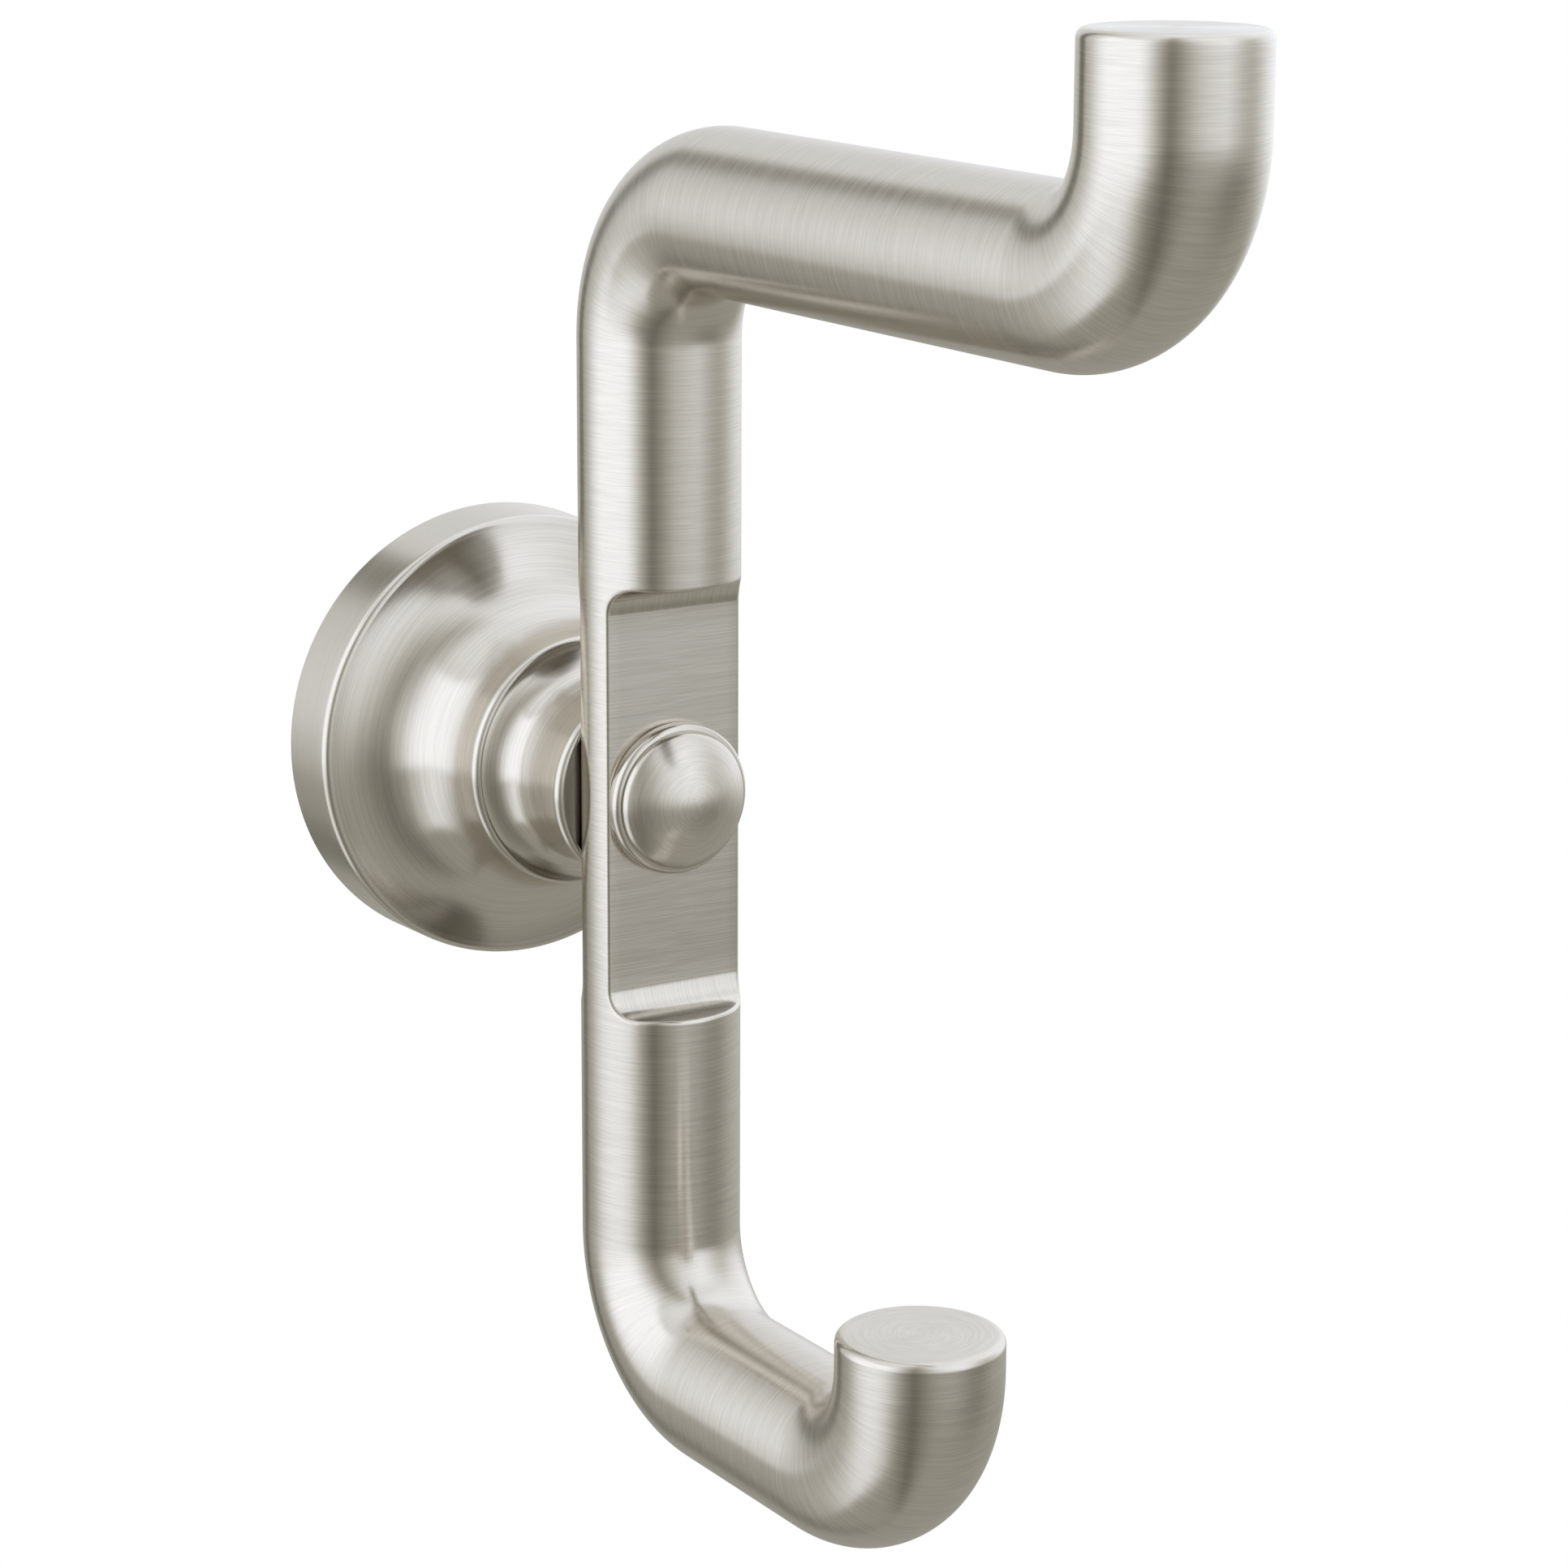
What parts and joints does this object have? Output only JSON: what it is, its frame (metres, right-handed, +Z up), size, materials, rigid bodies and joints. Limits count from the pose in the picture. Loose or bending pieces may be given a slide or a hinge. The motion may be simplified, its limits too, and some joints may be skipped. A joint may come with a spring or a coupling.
{
  "type": "double robe hook",
  "caption": "Bent round rod forming a long upper hook and a short lower hook, held by a dome-headed nut to a post on a round wall base.",
  "frame": {"origin": "centre of the round base on the wall plane", "axes": "+Y into the wall, the hooks stand out towards -Y, +Z up"},
  "size_m": [0.047, 0.124, 0.1469],
  "materials": {
    "brushed_metal": "warm satin nickel, brushed",
    "turned_metal": "warm satin nickel, brushed in circles",
    "hardware_steel": "plain zinc plated steel",
    "bracket_metal": "plain cast zinc"
  },
  "bodies": {
    "root": {"wall_bracket": "bracket_metal", "escutcheon": "turned_metal", "set_screw": "hardware_steel", "post": "turned_metal", "spring_washer": "hardware_steel", "clamp_screw": "hardware_steel", "hook_bar": "brushed_metal", "collar_ring": "turned_metal", "dome_nut": "turned_metal"}
  },
  "joints": []
}
